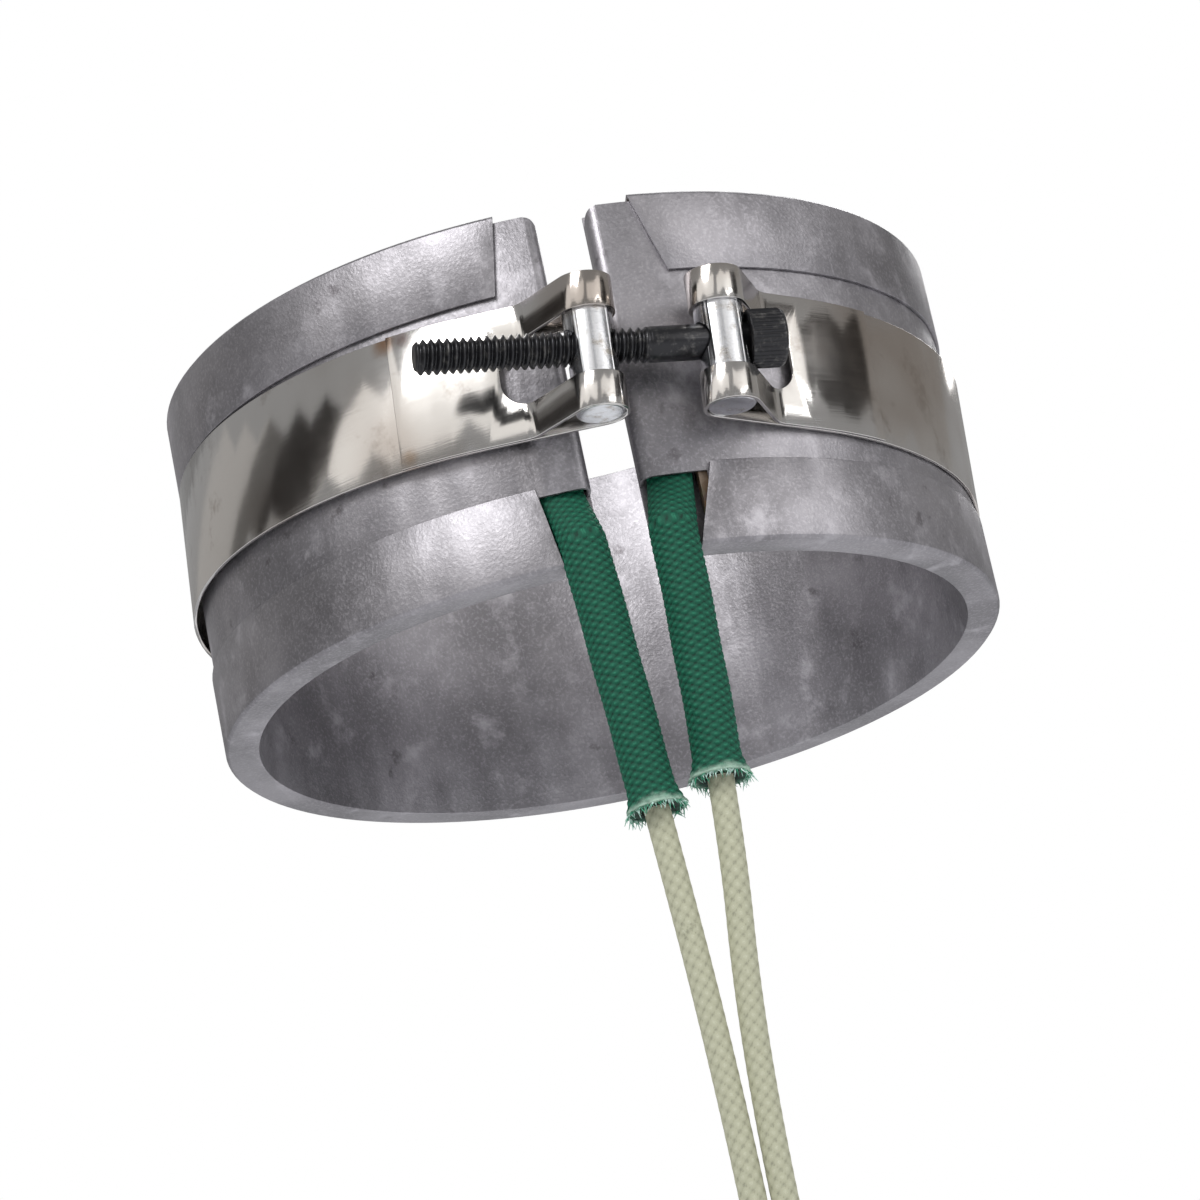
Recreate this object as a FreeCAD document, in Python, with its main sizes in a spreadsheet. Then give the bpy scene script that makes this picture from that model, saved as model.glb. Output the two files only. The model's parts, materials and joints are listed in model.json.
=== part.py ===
"""Mica band heater with a stainless clamping strap, as a parametric document.

Row frame: origin at the centre of the bore at mid width, +Z along the bore axis, -Y through the
expansion gap, +X to the right of a viewer who faces the gap. The two leads leave the lower end.
"""
import FreeCAD, Part
import math
import os
import re
from FreeCAD import Placement, Rotation, Vector

doc = FreeCAD.newDocument("band_heater")

# ---------------------------------------------------------------- driving dimensions (millimetres, degrees)
SIZES = {
    # the ring
    "bore_radius": 50.8,
    "band_width": 50.8,
    "sheath_gauge": 0.5,
    "mica_gauge": 1.0,
    "mica_flats": 64,
    "core_gauge": 0.7,
    "ribbon_gauge": 0.2,
    "fit_gap": 0.05,
    "outer_sheath_radius": 55.0,
    "gap_width": 6.6,
    "end_bend_radius": 1.6,
    "rim_bevel": 0.45,
    "rim_bend": 1.0,
    "rim_trim": 0.9,
    "hem_depth": 11.5,
    "hem_end_left": 8.8,
    "hem_end_right": 9.35,
    "hem_slant_left": 1.8,
    "hem_slant_right": 3.5,
    "outer_corner_radius": 1.6,
    # where the leads leave the lower end
    "lead_notch_height": 10.4,
    "lead_notch_left": 10.3,
    "lead_notch_right": 12.2,
    "pocket_outer_side": 11.0,
    "pocket_height": 21.9,
    "terminal_pocket_height": 30.4,
    # the heating element
    "core_margin": 4.0,
    "winding_turns": 8,
    "winding_start_angle": 20.0,
    "ribbon_width": 3.0,
    "terminal_width": 2.6,
    "terminal_length": 14.0,
    "terminal_gauge": 0.25,
    "terminal_angle": 7.9,
    "terminal_tongue": 6.5,
    # the clamp
    "strap_gauge": 0.5,
    "strap_width": 19.05,
    "strap_inner_radius": 55.7,
    "strap_height": 0.9,
    "clamp_turn": 7.9,
    "clamp_tilt": 3.5,
    "tail_end_angle": 35.6,
    "tail_gap": 0.06,
    "loop_foot": 9.5,
    "loop_foot_bend": 3.5,
    "slot_half_length": 19.8,
    "slot_width": 9.2,
    "slot_corner_radius": 3.4,
    "barrel_radius": 3.3,
    "barrel_length": 18.8,
    "barrel_chamfer": 0.3,
    "barrel_spacing": 17.6,
    "screw_line_radius": 61.0,
    "loop_clearance": 0.03,
    # the clamp screw
    "screw_radius": 2.415,
    "screw_length": 44.45,
    "thread_depth": 0.65,
    "head_radius": 3.96,
    "head_height": 4.83,
    "head_chamfer": 0.5,
    "socket_across_flats": 3.97,
    "socket_depth": 2.4,
    "threaded_hole_clearance": 0.02,
    "plain_hole_clearance": 0.085,
    "head_seat_gap": 0.03,
    # the leads
    "lead_radius": 1.75,
    "wire_radius": 0.65,
    "sleeve_radius": 3.1,
    "sleeve_bore": 2.3,
    "sleeve_flat_half_width": 3.2,
    "sleeve_flat_half_height": 1.45,
    "sleeve_wall": 0.5,
    "sleeve_flare_radius": 3.9,
    "sleeve_flare_length": 3.4,
    "sleeve_mouth_radius": 3.2,
    "sleeve_top_gap": 0.6,
    "sleeve_sides": 10,
    "sleeve_lip_gap": 0.5,
    "bare_end": 10.0,
}

sheet = doc.addObject("Spreadsheet::Sheet", "Sizes")
for row, (alias, value) in enumerate(SIZES.items(), start=1):
    sheet.set("A%d" % row, alias.replace("_", " "))
    sheet.set("B%d" % row, str(value))
    sheet.setAlias("B%d" % row, alias)
doc.recompute()


def size(alias):
    """The value that the sheet holds under an alias."""
    return float(sheet.get(alias))


def linked(words):
    """An expression in which each alias reads its cell of the sheet."""
    return re.sub(r"[a-z_]+", lambda found: "Sizes." + found.group() if found.group() in SIZES else found.group(),
                  words)


def bind(item, **expressions):
    for prop, words in expressions.items():
        item.setExpression(prop.replace("__", "."), linked(words))
    return item


# ---------------------------------------------------------------- building blocks
def box(name, x_low, x_high, y_low, y_high, z_low, z_high):
    """A block between six planes, each an expression in the sheet's aliases."""
    item = doc.addObject("Part::Box", name)
    return bind(item, Length="(%s) - (%s)" % (x_high, x_low), Width="(%s) - (%s)" % (y_high, y_low),
                Height="(%s) - (%s)" % (z_high, z_low), Placement__Base__x=x_low,
                Placement__Base__y=y_low, Placement__Base__z=z_low)


def cylinder(name, radius, z_low, z_high):
    """An upright cylinder on the Z axis."""
    item = doc.addObject("Part::Cylinder", name)
    return bind(item, Radius=radius, Height="(%s) - (%s)" % (z_high, z_low), Placement__Base__z=z_low)


def cut(name, base, tool):
    item = doc.addObject("Part::Cut", name)
    item.Base, item.Tool = base, tool
    return item


def fuse(name, pieces):
    item = doc.addObject("Part::MultiFuse", name)
    item.Shapes = pieces
    item.Refine = True
    return item


def cut_all(name, base, tools):
    """The base less several tools, as a chain of cuts whose last link has the given name."""
    for count, tool in enumerate(tools, start=1):
        last = count == len(tools)
        base = cut(name if last else "%s_step%d" % (name, count), base, tool)
    return base


def rounded(name, base, radius, wanted):
    """The base with the edges that wanted(edge) picks rounded to a radius."""
    doc.recompute()
    item = doc.addObject("Part::Fillet", name)
    item.Base = base
    item.Edges = [(i, radius, radius) for i, edge in enumerate(base.Shape.Edges, start=1) if wanted(edge)]
    return item


def chamfered(name, base, width, wanted):
    doc.recompute()
    item = doc.addObject("Part::Chamfer", name)
    item.Base = base
    item.Edges = [(i, width, width) for i, edge in enumerate(base.Shape.Edges, start=1) if wanted(edge)]
    return item


def is_circle(edge, radius):
    curve = edge.Curve
    return isinstance(curve, Part.Circle) and abs(curve.Radius - radius) < 1e-4


def is_upright_at(edge, x_size, radius):
    """Whether an edge runs along Z on the front side, at a distance from the YZ plane and from the Z axis."""
    if not isinstance(edge.Curve, Part.Line):
        return False
    middle = edge.valueAt(0.5 * (edge.FirstParameter + edge.LastParameter))
    upright = abs(edge.tangentAt(edge.FirstParameter).z) > 0.999
    return (upright and middle.y < 0 and abs(abs(middle.x) - x_size) < 1e-3
            and abs(math.hypot(middle.x, middle.y) - radius) < 1e-3)


nodes = []


def piece(label, item, placement=None):
    """Name an object as one sub-part of the heater."""
    item.Label = label
    if placement is not None:
        item.Placement = placement
    nodes.append(item)
    return item


def shape_piece(label, shape, placement=None):
    """A sub-part whose shape comes from Part's own functions."""
    item = doc.addObject("Part::Feature", label)
    item.Shape = shape
    return piece(label, item, placement)


# ---------------------------------------------------------------- the ring's two sheaths
LOW_END = "-band_width / 2"
TOP_END = "band_width / 2"
FAR_FRONT = "-outer_sheath_radius - 6"
HALF_GAP = "gap_width / 2"
HEM_RADIUS = "outer_sheath_radius + sheath_gauge"
INNER_WALL_RADIUS = "bore_radius + sheath_gauge"


def gap_cutter(name, half_width):
    """A slab that opens the ring on its front side."""
    return box(name, "-(%s)" % half_width, half_width, FAR_FRONT, "-bore_radius / 2",
               LOW_END + " - 5", TOP_END + " + 5")


def hem_corner_cutter(name, upper, right):
    """A slanted wedge that frees one corner of the folded margin, beside the gap."""
    side = "right" if right else "left"
    rim_x = size("hem_end_" + side)
    edge_x = rim_x + size("hem_slant_" + side)
    half_width = size("band_width") / 2
    depth = size("hem_depth") + 1.0
    overshoot = 1.0
    slope = (edge_x - rim_x) / size("hem_depth")
    front = -size("outer_sheath_radius") - 4
    points = [(0, half_width + overshoot), (rim_x - slope * overshoot, half_width + overshoot),
              (rim_x + slope * depth, half_width - depth), (0, half_width - depth)]
    side_sign = 1 if right else -1
    end_sign = 1 if upper else -1
    corners = [Vector(side_sign * x, front, end_sign * z) for x, z in points]
    outline = doc.addObject("Part::Polygon", name + "_outline")
    outline.Nodes = corners
    outline.Close = True
    wedge = doc.addObject("Part::Extrusion", name)
    wedge.Base = outline
    wedge.DirMode = "Custom"
    wedge.Dir = Vector(0, 1, 0)
    wedge.LengthFwd = size("outer_sheath_radius") / 2
    wedge.Solid = True
    return wedge


def make_inner_sheath():
    """One sheet: the bore wall, both rims and the two margins folded over the outer sheath."""
    body = cut("margin_blank", cylinder("margin_outside", HEM_RADIUS, LOW_END, TOP_END),
               cylinder("bore", "bore_radius", LOW_END, TOP_END))
    hem_radius = size("outer_sheath_radius") + size("sheath_gauge")
    body = chamfered("rim_bends", body, size("rim_bevel"), lambda e: is_circle(e, hem_radius))
    inside = cut("margin_inside",
                 cylinder("margin_inside_wall", "outer_sheath_radius", LOW_END + " + sheath_gauge",
                          TOP_END + " - sheath_gauge"),
                 cylinder("bore_wall", INNER_WALL_RADIUS, LOW_END, TOP_END))
    window = cut("between_margins",
                 cylinder("between_margins_outside", HEM_RADIUS + " + 1", LOW_END + " + hem_depth",
                          TOP_END + " - hem_depth"),
                 cylinder("between_margins_inside", "outer_sheath_radius - sheath_gauge", LOW_END, TOP_END))
    corners = []
    for end in ("lower", "upper"):
        keep_wall = cylinder("corner_%s_wall" % end, INNER_WALL_RADIUS, LOW_END + " - 2", TOP_END + " + 2")
        wedges = [hem_corner_cutter("corner_%s_%s" % (end, side), end == "upper", side == "right")
                  for side in ("left", "right")]
        corners.append(cut("corner_%s_cutter" % end, fuse("corner_%s" % end, wedges), keep_wall))
        low = LOW_END + " - 2" if end == "lower" else TOP_END + " - rim_trim"
        high = LOW_END + " + rim_trim" if end == "lower" else TOP_END + " + 2"
        corners.append(box("corner_%s_trim" % end, "-hem_end_left", "hem_end_right", FAR_FRONT,
                           "-bore_radius / 2", low, high))
    body = cut_all("inner_sheath", body, [inside, window] + corners + [gap_cutter("bore_gap", HALF_GAP)])
    return piece("inner_sheath", body)


def make_outer_sheath():
    """The outer sheet, its ends bent inwards over the gap faces, cut back where the leads come out."""
    margin = "rim_bend + fit_gap"
    low, high = "%s + %s" % (LOW_END, margin), "%s - %s" % (TOP_END, margin)
    outside = cut("outer_blank", cylinder("outer_face", "outer_sheath_radius", low, high),
                  cylinder("outer_flange_root", INNER_WALL_RADIUS + " + fit_gap", LOW_END, TOP_END))
    outside = cut("outer_blank_open", outside, gap_cutter("outer_gap", HALF_GAP))
    outside = rounded("outer_end_bend", outside, size("end_bend_radius"),
                      lambda e: is_upright_at(e, size("gap_width") / 2, size("outer_sheath_radius")))
    gauge = size("sheath_gauge")
    inside = cut("outer_inside_open",
                 cylinder("outer_inside", "outer_sheath_radius - sheath_gauge", LOW_END, TOP_END),
                 gap_cutter("outer_inside_gap", HALF_GAP + " + sheath_gauge"))
    inside = rounded("outer_inside_bend", inside, size("end_bend_radius") - gauge,
                     lambda e: is_upright_at(e, size("gap_width") / 2 + gauge,
                                             size("outer_sheath_radius") - gauge))
    notch = box("lead_notch", "-lead_notch_left", "lead_notch_right", FAR_FRONT, "-bore_radius / 2",
                LOW_END + " - 5", LOW_END + " + lead_notch_height")
    body = cut_all("outer_sheath_square", outside, [inside, notch])
    half_gap, corner = size("gap_width") / 2, size("outer_corner_radius")
    top = size("band_width") / 2 - size("rim_bend") - size("fit_gap")
    cutters = []
    for name, sign in (("left", -1), ("right", 1)):
        x_centre = sign * (half_gap + corner)
        square = box("outer_corner_%s_square" % name,
                     "%g" % min(0, x_centre), "%g" % max(0, x_centre), FAR_FRONT, "-bore_radius / 2",
                     "%g" % (top - corner), TOP_END + " + 5")
        disc = doc.addObject("Part::Cylinder", "outer_corner_%s_disc" % name)
        bind(disc, Radius="outer_corner_radius", Height="outer_sheath_radius")
        disc.Placement = Placement(Vector(x_centre, 0, top - corner), Rotation(Vector(1, 0, 0), 90))
        cutters.append(cut("outer_corner_%s" % name, square, disc))
    return piece("outer_sheath", cut_all("outer_sheath", body, cutters))


# ---------------------------------------------------------------- the mica pack and its winding
FLANGE_SIDE = HALF_GAP + " + sheath_gauge + fit_gap"
BEND_SIDE = HALF_GAP + " + end_bend_radius + fit_gap"


def many_sided(name, corner_radius, z_low, z_high):
    """An upright prism with as many flats as the stiff mica board is bent into."""
    item = doc.addObject("Part::Prism", name)
    item.Polygon = int(size("mica_flats"))
    return bind(item, Circumradius=corner_radius, Height="(%s) - (%s)" % (z_high, z_low),
                Placement__Base__z=z_low)


def make_mica(label, low_radius, high_radius, margin, pocket_top, flange=FLANGE_SIDE):
    """One curved mica sheet, open at the gap and relieved round each terminal."""
    tube = cut(label + "_tube", many_sided(label + "_outside", high_radius, "%s + %s" % (LOW_END, margin),
                                           "%s - (%s)" % (TOP_END, margin)),
               many_sided(label + "_inside", "(%s) / cos(180 deg / mica_flats)" % low_radius, LOW_END, TOP_END))
    pocket = box(label + "_pocket", "-pocket_outer_side", "pocket_outer_side", FAR_FRONT,
                 "-bore_radius / 2", LOW_END + " - 5", "%s + %s" % (LOW_END, pocket_top))
    tools = [pocket, gap_cutter(label + "_gap", flange)]
    return piece(label, cut_all(label, tube, tools))


CORE_LOW = INNER_WALL_RADIUS + " + mica_gauge + ribbon_gauge + fit_gap * 2"
CORE_HIGH = CORE_LOW + " + core_gauge"


def core_radii():
    low = size("bore_radius") + size("sheath_gauge") + size("mica_gauge")
    low += size("ribbon_gauge") + 2 * size("fit_gap")
    return low, low + size("core_gauge")


def ring_sector(low_radius, high_radius, low, high, middle, span):
    """Part of a ring between two radii and two heights, its middle at an angle in degrees from the gap."""
    blank = Part.makeCylinder(high_radius, high - low, Vector(0, 0, low), Vector(0, 0, 1), span)
    sector = blank.cut(Part.makeCylinder(low_radius, high - low, Vector(0, 0, low)))
    sector.rotate(Vector(0, 0, 0), Vector(0, 0, 1), middle - span / 2 - 90)
    return sector


def make_heating_ribbon():
    """The resistance ribbon wound round the core: runs inside and outside, links over the core's edges."""
    low, high = core_radii()
    gauge, turns = size("ribbon_gauge"), int(size("winding_turns"))
    edge = size("band_width") / 2 - size("core_margin")
    start = size("winding_start_angle")
    step = (360 - 2 * start) / (turns - 0.5)
    span = math.degrees(size("ribbon_width") / high)
    blocks = []
    for turn in range(turns):
        outer = start + turn * step
        inner = outer + step / 2
        blocks.append(ring_sector(high, high + gauge, -edge - gauge, edge + gauge, outer, span))
        blocks.append(ring_sector(low - gauge, low, -edge - gauge, edge + gauge, inner, span))
        blocks.append(ring_sector(low - gauge, high + gauge, edge, edge + gauge, outer + step / 4,
                                  step / 2 + span))
        if turn < turns - 1:
            blocks.append(ring_sector(low - gauge, high + gauge, -edge - gauge, -edge, inner + step / 4,
                                      step / 2 + span))
    tail_low = -size("band_width") / 2 + size("pocket_height") - size("terminal_tongue")
    tail_low += size("terminal_length") + size("fit_gap")
    reach = start - size("terminal_angle")
    for low_radius, sign in ((high, 1), (low - gauge, -1)):
        blocks.append(ring_sector(low_radius, low_radius + gauge, tail_low, tail_low + size("ribbon_width"),
                                  sign * (start - reach / 2), reach + span))
    return shape_piece("heating_ribbon", blocks[0].fuse(blocks[1:]).removeSplitter())


def make_terminal(side, sign):
    """The flat tab that joins one end of the winding to a lead's feed wire."""
    high = core_radii()[1]
    width, gauge = size("terminal_width"), size("terminal_gauge")
    base_z = -size("band_width") / 2 + size("pocket_height") - size("terminal_tongue")
    corner = Vector(-width / 2, -high - size("fit_gap") - gauge, base_z)
    swing = Placement(Vector(0, 0, 0), Rotation(Vector(0, 0, 1), sign * size("terminal_angle")))
    return shape_piece(side + "_terminal", Part.makeBox(width, gauge, size("terminal_length"), corner), swing)


def make_element():
    make_mica("inner_mica", INNER_WALL_RADIUS + " + fit_gap", INNER_WALL_RADIUS + " + mica_gauge",
              "rim_bend + 0.1", "pocket_height")
    make_mica("mica_core", CORE_LOW, CORE_HIGH, "core_margin", "pocket_height")
    make_mica("outer_mica", CORE_HIGH + " + ribbon_gauge + fit_gap",
              "outer_sheath_radius - sheath_gauge - fit_gap", "rim_bend + 0.1", "terminal_pocket_height",
              BEND_SIDE)
    make_heating_ribbon()
    make_terminal("left", -1)
    make_terminal("right", 1)


# ---------------------------------------------------------------- the clamping strap
def clamp_frame():
    """The strap's own frame: turned to the right of the gap and tilted, its left side higher."""
    turn = Rotation(Vector(0, 0, 1), size("clamp_turn"))
    tilt = Rotation(Vector(0, 1, 0), size("clamp_tilt"))
    return Placement(Vector(0, 0, size("strap_height")), turn * tilt)


def strap_half(sign):
    """Centre line of one half of the strap, as arcs and lines from the tail's end to the ring.

    Each arc is (centre, radius, start angle, sweep) and each line is (start, end), in the strap's plane.
    """
    gauge = size("strap_gauge")
    ring = size("strap_inner_radius") + gauge / 2
    tail_rise = gauge + size("tail_gap")
    wrap = size("barrel_radius") + size("loop_clearance") + gauge / 2
    barrel = Vector(sign * size("barrel_spacing") / 2, -size("screw_line_radius"), 0)
    reach = barrel.Length
    leave = math.atan2(abs(barrel.x), -barrel.y) + math.acos((ring + wrap) / reach)
    outward = Vector(sign * math.sin(leave), -math.cos(leave), 0)
    along = Vector(-sign * math.cos(leave), -math.sin(leave), 0)
    root = outward * ring
    foot_run = (barrel - root).dot(along) - size("loop_foot")
    lift = wrap - tail_rise
    rise = math.atan2(lift, size("loop_foot")) + math.asin(wrap / math.hypot(size("loop_foot"), lift))
    rising = along * math.cos(rise) + outward * math.sin(rise)
    rising_side = outward * math.cos(rise) - along * math.sin(rise)
    bend = size("loop_foot_bend")
    setback = bend * math.tan(rise / 2)
    corner = root + outward * tail_rise + along * foot_run
    bend_start = corner - along * setback
    bend_end = corner + rising * setback
    bend_centre = bend_start + outward * bend
    wrap_start = barrel + rising_side * wrap

    def angle_of(vector):
        return math.atan2(vector.y, vector.x)

    tail_angle = math.radians(size("tail_end_angle"))
    tail_from = angle_of(Vector(sign * math.sin(tail_angle), -math.cos(tail_angle), 0))
    return [
        ("arc", Vector(0, 0, 0), ring + tail_rise, tail_from, -sign * (tail_angle - leave)),
        ("line", root + outward * tail_rise, bend_start),
        ("arc", bend_centre, bend, angle_of(-outward), sign * rise),
        ("line", bend_end, wrap_start),
        ("arc", barrel, wrap, angle_of(rising_side), -sign * (math.pi + rise)),
        ("line", barrel - outward * wrap, root),
        ("arc", Vector(0, 0, 0), ring, angle_of(outward), sign * (math.pi - leave)),
    ]


def reversed_path(path):
    back = []
    for step in reversed(path):
        if step[0] == "line":
            back.append(("line", step[2], step[1]))
        else:
            back.append(("arc", step[1], step[2], step[3] + step[4], -step[4]))
    return back


def offset_edges(path, distance):
    """The path moved to its left by a distance, as edges from its start to its end."""
    edges = []
    for step in path:
        if step[0] == "line":
            along = (step[2] - step[1]).normalize()
            left = Vector(-along.y, along.x, 0) * distance
            edges.append(Part.makeLine(step[1] + left, step[2] + left))
            continue
        centre, radius, start, sweep = step[1:]
        radius = radius - distance if sweep > 0 else radius + distance
        points = [centre + Vector(math.cos(start + sweep * f), math.sin(start + sweep * f), 0) * radius
                  for f in (0, 0.5, 1)]
        edges.append(Part.Arc(*points).toShape())
    return edges


def make_clamp_strap():
    """One strip: the ring round the heater, both slotted ends looped round the barrels and welded back."""
    half_gauge = size("strap_gauge") / 2
    path = strap_half(1) + reversed_path(strap_half(-1))
    left, right = offset_edges(path, half_gauge), offset_edges(path, -half_gauge)
    caps = [Part.makeLine(left[i].valueAt(left[i].FirstParameter if i == 0 else left[i].LastParameter),
                          right[i].valueAt(right[i].FirstParameter if i == 0 else right[i].LastParameter))
            for i in (0, -1)]
    outline = Part.Wire(Part.__sortEdges__(left + right + caps))
    section = doc.addObject("Part::Feature", "strap_section")
    section.Shape = Part.Face(outline)
    strip = doc.addObject("Part::Extrusion", "strap_strip")
    strip.Base = section
    strip.DirMode = "Custom"
    strip.Dir = Vector(0, 0, 1)
    strip.Solid = True
    strip.Symmetric = True
    bind(strip, LengthFwd="strap_width")

    slot = box("strap_slot_square", "-slot_half_length", "slot_half_length", "-screw_line_radius - 8",
               "-bore_radius / 2", "-slot_width / 2", "slot_width / 2")
    corner_x = size("slot_half_length")
    slot = rounded("strap_slot", slot, size("slot_corner_radius"),
                   lambda e: abs(e.tangentAt(e.FirstParameter).y) > 0.999
                   and abs(abs(e.valueAt(e.FirstParameter).x) - corner_x) < 1e-6)
    slotted = cut("clamp_strap", strip, slot)
    return piece("clamp_strap", slotted, clamp_frame())


def make_barrel(label, sign, hole_clearance):
    """A cross-drilled barrel nut, upright in its loop of the strap."""
    pin = cylinder(label + "_pin", "barrel_radius", "-barrel_length / 2", "barrel_length / 2")
    pin.Placement.Base = Vector(sign * size("barrel_spacing") / 2, -size("screw_line_radius"),
                                -size("barrel_length") / 2)
    turned = chamfered(label + "_turned", pin, size("barrel_chamfer"),
                       lambda e: is_circle(e, size("barrel_radius")))
    hole = doc.addObject("Part::Cylinder", label + "_hole")
    bind(hole, Radius="screw_radius + " + hole_clearance, Height="barrel_spacing * 2")
    hole.Placement = Placement(Vector(-size("barrel_spacing"), -size("screw_line_radius"), 0),
                               Rotation(Vector(0, 1, 0), 90))
    return piece(label, cut(label, turned, hole), clamp_frame())


def make_clamp_screw():
    """The socket head cap screw, its head bearing on the plain barrel."""
    seat = size("barrel_spacing") / 2 + size("barrel_radius") + size("head_seat_gap")
    line = Placement(Vector(seat, -size("screw_line_radius"), 0), Rotation(Vector(0, 1, 0), 90))
    head = cylinder("screw_head_blank", "head_radius", "0", "head_height")
    head = chamfered("screw_head", head, size("head_chamfer"),
                     lambda e: is_circle(e, size("head_radius")) and e.CenterOfMass.z > 1)
    shank = cylinder("screw_shank_blank", "screw_radius", "-screw_length", "0")
    shank = chamfered("screw_shank", shank, size("thread_depth"),
                      lambda e: is_circle(e, size("screw_radius")) and e.CenterOfMass.z < -1)
    socket = doc.addObject("Part::Prism", "screw_socket")
    socket.Polygon = 6
    bind(socket, Circumradius="socket_across_flats / sqrt(3)", Height="socket_depth + 1",
         Placement__Base__z="head_height - socket_depth")
    screw = cut("clamp_screw_drilled", fuse("screw_blank", [head, shank]), socket)
    return piece("clamp_screw", screw, clamp_frame() * line)


# ---------------------------------------------------------------- the leads
# Each route starts at the terminal, leaves through the notch in the sheath and hangs down. The feed wire
# follows it as far as its third point, where the covered lead takes over.
LEFT_ROUTE = [
    (-7.22, -52.1, -5.5), (-7.2, -52.3, -16.0), (-5.85, -54.3, -22.5), (-3.5, -54.8, -60.0),
    (-1.9, -55.0, -97.0), (-2.0, -54.8, -142.0), (-3.5, -55.0, -190.0), (-5.4, -55.2, -237.0),
]
RIGHT_ROUTE = [
    (7.22, -52.1, -5.5), (7.2, -52.3, -16.0), (6.1, -54.3, -22.5), (5.8, -54.8, -58.0),
    (1.8, -55.0, -94.0), (2.1, -54.8, -140.0), (3.8, -55.0, -188.5), (6.0, -55.2, -237.0),
]
COVER_START = 2
MITRED = 1
FEED_GAP = 0.3
LEFT_SLEEVE_END = -60.0
RIGHT_SLEEVE_END = -57.4


def as_vectors(route):
    return [Vector(*point) for point in route]


def rounded_route(points, name=""):
    """Straight runs joined by tangent arcs, each as large as its two runs allow."""
    edges, start = [], points[0]
    for before, corner, after in zip(points, points[1:], points[2:]):
        back, ahead = (before - corner), (after - corner)
        run = min(back.Length, ahead.Length)
        back.normalize()
        ahead.normalize()
        turn = math.pi - back.getAngle(ahead)
        setback = 0.45 * run
        radius = setback / math.tan(turn / 2)
        if name:
            print("%s: turn %.1f deg, radius %.1f mm" % (name, math.degrees(turn), radius))
        first, last = corner + back * setback, corner + ahead * setback
        inward = (back + ahead).normalize()
        centre = corner + inward * (radius / math.cos(turn / 2))
        edges.append(Part.makeLine(start, first))
        edges.append(Part.Arc(first, centre - inward * radius, last).toShape())
        start = last
    edges.append(Part.makeLine(start, points[-1]))
    return Part.Wire(edges)


def pipe(path, radius, corners=0):
    """A round rod of a radius along a path, its sharp corners mitred where corners is 1."""
    first = path.Edges[0]
    start = first.valueAt(first.FirstParameter)
    direction = first.tangentAt(first.FirstParameter)
    ring = Part.Wire([Part.makeCircle(radius, start, direction)])
    return path.makePipeShell([ring], True, False, corners)


def point_at_height(points, height):
    """The point of a route at a height, on its straight runs."""
    for high, low in zip(points, points[1:]):
        if high.z >= height >= low.z:
            return high + (low - high) * ((high.z - height) / (high.z - low.z))
    raise ValueError("the route doesn't pass that height")


def oval_wire(centre, half_width, half_height, turn, normal):
    """A many-sided closed oval about a centre, square to a direction; its long axis is turned from X."""
    sides = int(size("sleeve_sides"))
    angles = [2 * math.pi * i / sides for i in range(sides + 1)]
    curve = Part.makePolygon([Vector(half_width * math.cos(a), half_height * math.sin(a), 0) for a in angles])
    lean = Rotation(Vector(0, 0, 1), normal)
    curve.Placement = Placement(centre, lean * Rotation(Vector(0, 0, 1), turn))
    return curve


def sleeve_body(points, end, sign, inner):
    """The sleeve's outer form or its hollow: an oval throat, a round length and the flared end."""
    less = size("sleeve_wall") if inner else 0
    radius = size("sleeve_bore") if inner else size("sleeve_radius")
    mouth = size("sleeve_mouth_radius") if inner else size("sleeve_flare_radius")
    turn = sign * size("terminal_angle")
    half_width, half_height = size("sleeve_flat_half_width") - less, size("sleeve_flat_half_height") - less
    mid_radius = size("bore_radius") + size("sheath_gauge") + 2 * size("fit_gap")
    mid_radius += size("sleeve_flat_half_height")
    swing = Rotation(Vector(0, 0, 1), turn)
    upright = Vector(0, 0, 1)
    low_end = -size("band_width") / 2
    throat = [low_end + size("pocket_height") - size("sleeve_top_gap"),
              low_end + size("lead_notch_height") - size("sleeve_lip_gap")]
    sections = [oval_wire(swing.multVec(Vector(0, -mid_radius, height)), half_width, half_height, turn, upright)
                for height in throat]
    start, corner = points[COVER_START], points[COVER_START + 1]
    down = (corner - start).normalize()
    flare = end - down * size("sleeve_flare_length")
    for centre, wide in ((start, radius), (flare, radius), (end, mouth)):
        sections.append(oval_wire(centre, wide, wide, turn, -down))
    return Part.makeLoft(sections, True, True)


def make_sleeve(label, points, end_height, sign):
    """The braided sleeve: flattened inside the wall, round below it, its cut end flared."""
    end = point_at_height(points, end_height)
    return shape_piece(label, sleeve_body(points, end, sign, False).cut(sleeve_body(points, end, sign, True)))


def make_lead(side, route, sleeve_end, sign):
    """One flexible lead: its sleeve, the feed wire from the terminal, the covered lead and its bare end."""
    points = as_vectors(route)
    make_sleeve(side + "_sleeve", points, sleeve_end, sign)
    feed_end = points[COVER_START] - (points[COVER_START] - points[COVER_START - 1]).normalize() * FEED_GAP
    feed = Part.makePolygon(points[:COVER_START] + [feed_end])
    shape_piece(side + "_feed_wire", pipe(feed, size("wire_radius"), MITRED))
    last_run = (points[-1] - points[-2]).normalize()
    cover_end = points[-1] - last_run * size("bare_end")
    path = rounded_route(points[COVER_START:-1] + [cover_end], side + "_lead")
    cover = pipe(path, size("lead_radius"))
    expected = math.pi * size("lead_radius") ** 2 * path.Length
    print("%s_lead: length %.1f mm, volume ratio %.4f" % (side, path.Length, cover.Volume / expected))
    shape_piece(side + "_lead", cover)
    shape_piece(side + "_wire", Part.makeCylinder(size("wire_radius"), size("bare_end"), cover_end, last_run))


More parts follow.
